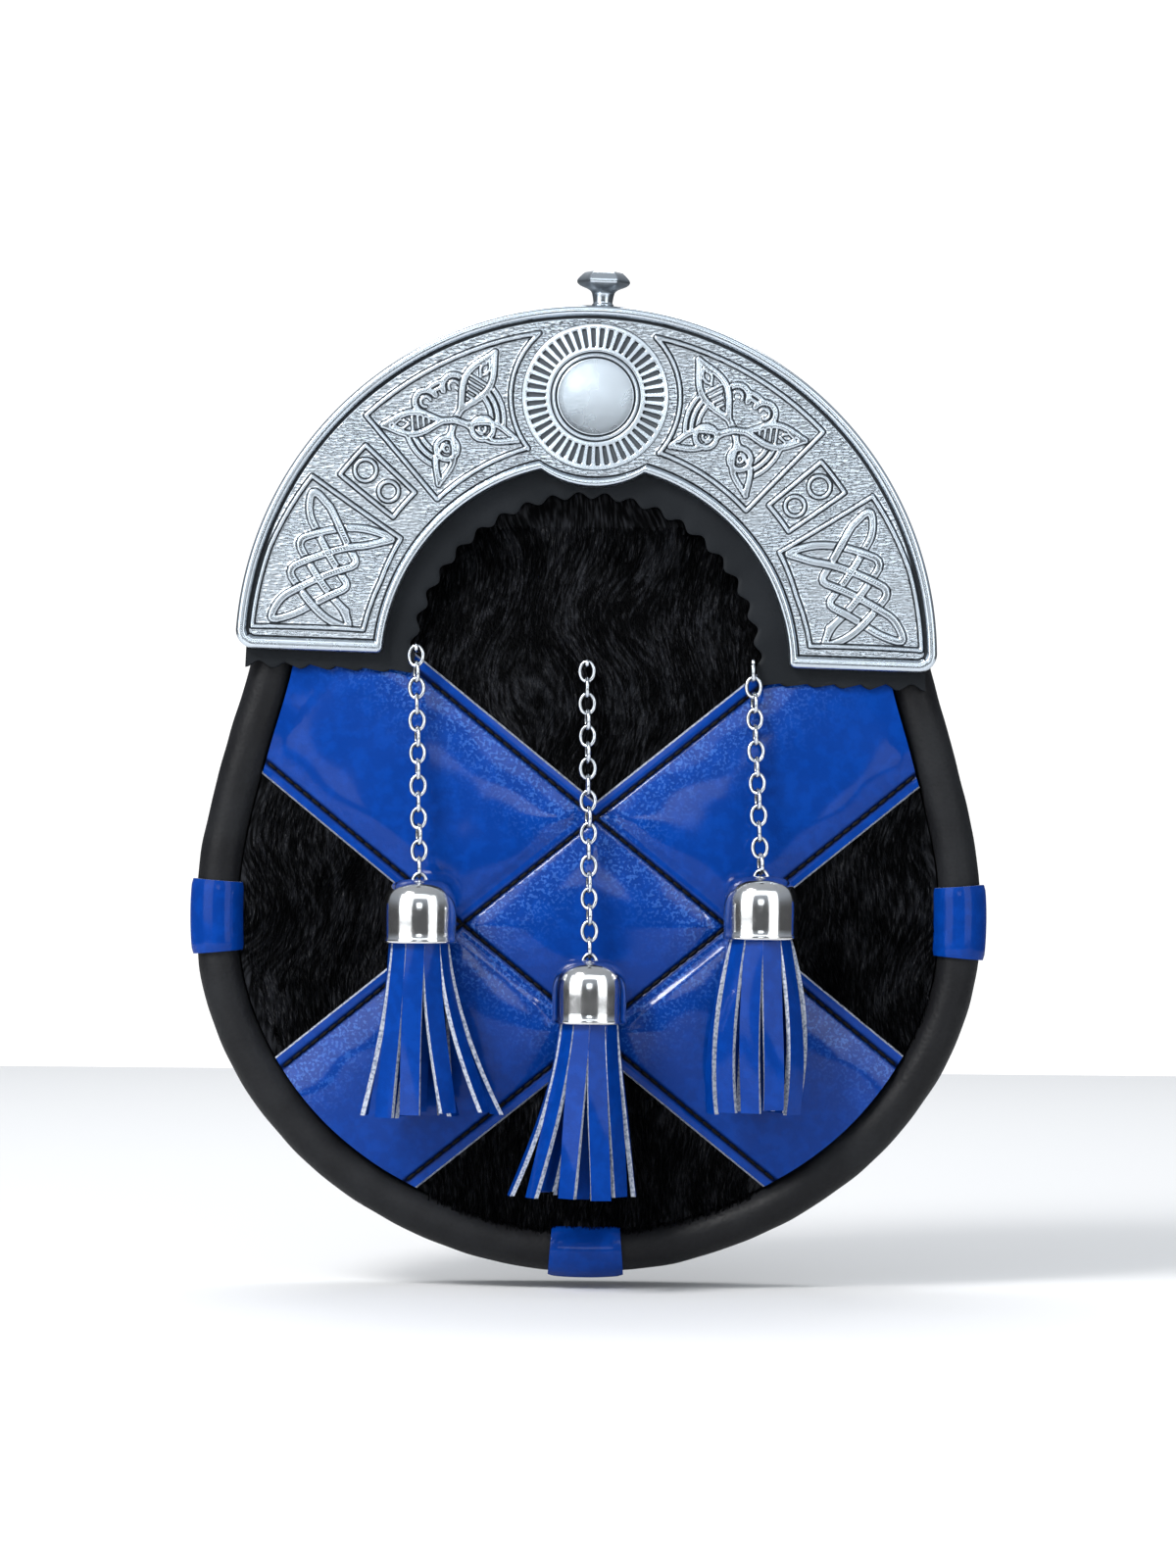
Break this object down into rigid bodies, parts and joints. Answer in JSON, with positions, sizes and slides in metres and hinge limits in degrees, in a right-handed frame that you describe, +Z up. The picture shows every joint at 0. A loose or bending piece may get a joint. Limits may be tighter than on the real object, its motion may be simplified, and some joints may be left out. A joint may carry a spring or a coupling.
{
  "type": "sporran pouch",
  "caption": "Round-bottomed leather dress sporran with a knotwork metal cantle, hair-on hide front, quilted diagonal cross and leather tassels on chains.",
  "frame": {"origin": "where the waist strap passes behind the pouch, halfway between the two strap loops and in the middle of their depth", "axes": "+Z up as worn, the front faces -Y, +X to the right of someone looking at the front"},
  "size_m": [0.202, 0.065, 0.255],
  "materials": {
    "hide": "hair-on black cow hide",
    "roll_leather": "soft black grained leather",
    "pouch_leather": "black satin leather",
    "facing_leather": "black smooth leather, pinked edge",
    "cross_leather": "glossy blue patent leather",
    "tassel_leather": "glossy blue patent leather with pale cut edges",
    "cantle_metal": "cast, polished, dark in the recesses",
    "bright_metal": "polished",
    "chain_metal": "bright",
    "stud_metal": "satin"
  },
  "bodies": {
    "root": {"hide_panel": "hide", "edge_roll": "roll_leather", "gusset": "pouch_leather", "back_panel": "pouch_leather", "back_flap": "pouch_leather", "flap_stud": "stud_metal", "strap_loop_left": "pouch_leather", "strap_loop_right": "pouch_leather", "diagonal_cross": "cross_leather", "pinked_facing": "facing_leather", "keeper_left": "cross_leather", "keeper_right": "cross_leather", "keeper_bottom": "cross_leather", "cantle": "cantle_metal", "top_knob": "bright_metal", "bell_left": "bright_metal", "bell_middle": "bright_metal", "bell_right": "bright_metal", "tassel_left": "tassel_leather", "tassel_middle": "tassel_leather", "tassel_right": "tassel_leather", "chain_left": "chain_metal", "chain_middle": "chain_metal", "chain_right": "chain_metal"}
  },
  "joints": []
}
